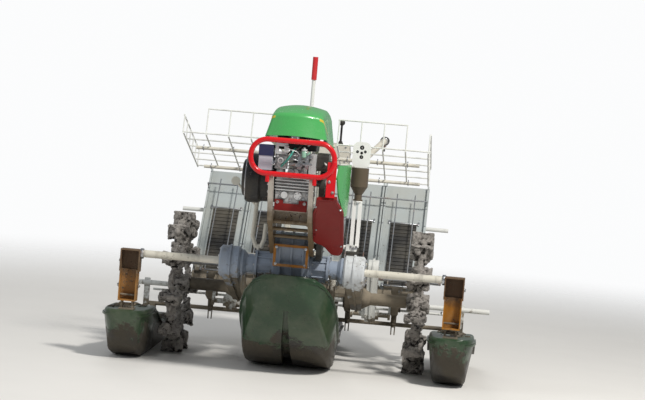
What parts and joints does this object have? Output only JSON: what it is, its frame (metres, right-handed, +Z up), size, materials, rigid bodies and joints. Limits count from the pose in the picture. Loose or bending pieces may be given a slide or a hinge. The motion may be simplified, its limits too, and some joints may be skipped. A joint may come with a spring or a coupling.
{
  "type": "rice transplanter",
  "caption": "Walk-behind four-row rice transplanter: lugged paddy wheels on swing cases, floats, open engine, planting arms, sliding seedling platform and spare racks.",
  "frame": {"origin": "on the floor under the middle of the length and width", "axes": "+X to the machine's left, +Y to its rear, +Z up"},
  "size_m": [1.62, 2.2, 1.28],
  "materials": {
    "case_paint": "satin",
    "cream_paint": "satin",
    "red_paint": "gloss",
    "cover_red": "satin",
    "green_shell": "gloss",
    "float_green": "satin",
    "orange_paint": "satin",
    "alloy": "satin",
    "steel": "satin",
    "black_paint": "satin",
    "navy_plastic": "satin",
    "wheel_mud": "matte",
    "white_paint": "satin",
    "platform_grey": "satin",
    "grip_rubber": "matte",
    "belt_rubber": "matte"
  },
  "bodies": {
    "root": {"transmission_case": "case_paint", "transmission_guard": "orange_paint", "bed_plate": "cover_red", "carburettor": "alloy", "stay_tube": "cream_paint", "axle_cases": "case_paint", "engine_mount": "cream_paint", "front_guard": "red_paint", "crankcase": "alloy", "cylinder_block": "alloy", "recoil_starter": "black_paint", "air_cleaner": "navy_plastic", "muffler": "black_paint", "fuel_tank": "black_paint", "belt_drive": "belt_rubber", "belt_cover": "cover_red", "side_panel": "green_shell", "cross_pipes": "cream_paint", "float_brackets": "orange_paint", "centre_float": "float_green", "side_floats": "float_green", "float_links": "cream_paint", "main_frame": "cream_paint", "planting_drive": "cream_paint", "planting_cases": "white_paint", "planting_arms": "case_paint", "slide_rails": "white_paint", "handle_frame": "cream_paint", "grips": "grip_rubber", "console": "cream_paint", "levers": "black_paint", "rack_frame": "cream_paint", "spare_racks": "white_paint", "sighting_pole": "white_paint", "marker_bracket": "white_paint"},
    "swing_left": {"swing_case_left": "case_paint"},
    "swing_right": {"swing_case_right": "case_paint"},
    "wheel_left": {"axle_left": "steel", "wheel_left": "wheel_mud"},
    "wheel_right": {"axle_right": "steel", "wheel_right": "wheel_mud"},
    "platform": {"platform": "platform_grey", "mat_rods": "steel"},
    "bonnet": {"bonnet": "green_shell"},
    "marker": {"marker_arm": "white_paint"}
  },
  "joints": [
    {"name": "swing_left", "type": "hinge", "parent": "root", "child": "swing_left", "pos_m": [0.249, -0.67, 0.432], "axis": [1, 0, 0], "range_deg": [-38, 8]},
    {"name": "swing_right", "type": "hinge", "parent": "root", "child": "swing_right", "pos_m": [-0.249, -0.67, 0.432], "axis": [1, 0, 0], "range_deg": [-38, 8]},
    {"name": "spin_left", "type": "hinge", "parent": "swing_left", "child": "wheel_left", "pos_m": [0.504, -0.2409, 0.28996], "axis": [1, 0, 0], "continuous": true},
    {"name": "spin_right", "type": "hinge", "parent": "swing_right", "child": "wheel_right", "pos_m": [-0.504, -0.2409, 0.28996], "axis": [1, 0, 0], "continuous": true},
    {"name": "platform_slide", "type": "slide", "parent": "root", "child": "platform", "axis": [1, 0, 0], "range_m": [-0.084, 0.084]},
    {"name": "bonnet_lid", "type": "hinge", "parent": "root", "child": "bonnet", "pos_m": [0, -0.541, 0.922], "axis": [-1, 0, 0], "range_deg": [0, 50]},
    {"name": "marker_fold", "type": "hinge", "parent": "root", "child": "marker", "pos_m": [0.238, -0.645, 0.526], "axis": [0, 1, 0], "range_deg": [0, 92]}
  ]
}
